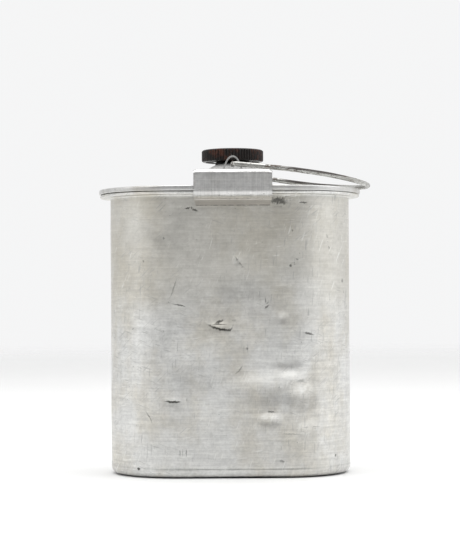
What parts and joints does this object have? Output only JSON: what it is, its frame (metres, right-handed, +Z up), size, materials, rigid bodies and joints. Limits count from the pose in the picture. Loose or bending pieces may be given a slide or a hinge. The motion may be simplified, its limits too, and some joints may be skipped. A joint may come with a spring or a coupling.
{
  "type": "nesting field canteen",
  "caption": "Oblong aluminium canteen: a flask nested in a pot, a yoke hooked under the rim, a wire bail and a screw stopper.",
  "frame": {"origin": "centre of the pot's flat base, on the surface it stands on", "axes": "+Z up along the neck, +X along the oblong plan towards the folded bail, -Y to the front"},
  "size_m": [0.1709, 0.1058, 0.2027],
  "materials": {
    "pot_aluminium": "worn, finely brushed, with scratches and dents",
    "flask_aluminium": "worn satin",
    "neck_aluminium": "turned",
    "yoke_aluminium": "bright rolled sheet, lightly scuffed",
    "bail_wire": "tarnished plated wire with dark spots",
    "bakelite": "dark brown mottled, dulled by handling",
    "black_rubber": "matte"
  },
  "bodies": {
    "vessels": {"pot": "pot_aluminium", "flask_body": "flask_aluminium", "flask_top": "flask_aluminium", "neck": "neck_aluminium"},
    "seal_ring": {"seal": "black_rubber"},
    "stopper_body": {"stopper": "bakelite"},
    "yoke_body": {"yoke": "yoke_aluminium", "ear_front": "yoke_aluminium", "ear_back": "yoke_aluminium"},
    "bail_body": {"bail": "bail_wire"}
  },
  "joints": [
    {"name": "stopper_lift", "type": "slide", "parent": "vessels", "child": "seal_ring", "axis": [0, 0, 1], "range_m": [0, 0.02]},
    {"name": "stopper_turn", "type": "hinge", "parent": "seal_ring", "child": "stopper_body", "pos_m": [0.002, 0, 0.195], "axis": [0, 0, 1], "range_deg": [0, 2400.5]},
    {"name": "yoke_slide", "type": "slide", "parent": "vessels", "child": "yoke_body", "axis": [1, 0, 0], "range_m": [0, 0.12]},
    {"name": "bail_swing", "type": "hinge", "parent": "yoke_body", "child": "bail_body", "pos_m": [0.002, 0, 0.1914], "axis": [0, -1, 0], "range_deg": [0, 164]}
  ],
  "couplings": [
    {"joint": "stopper_turn", "follows": "stopper_lift", "rad_per_m": 2094.4}
  ]
}
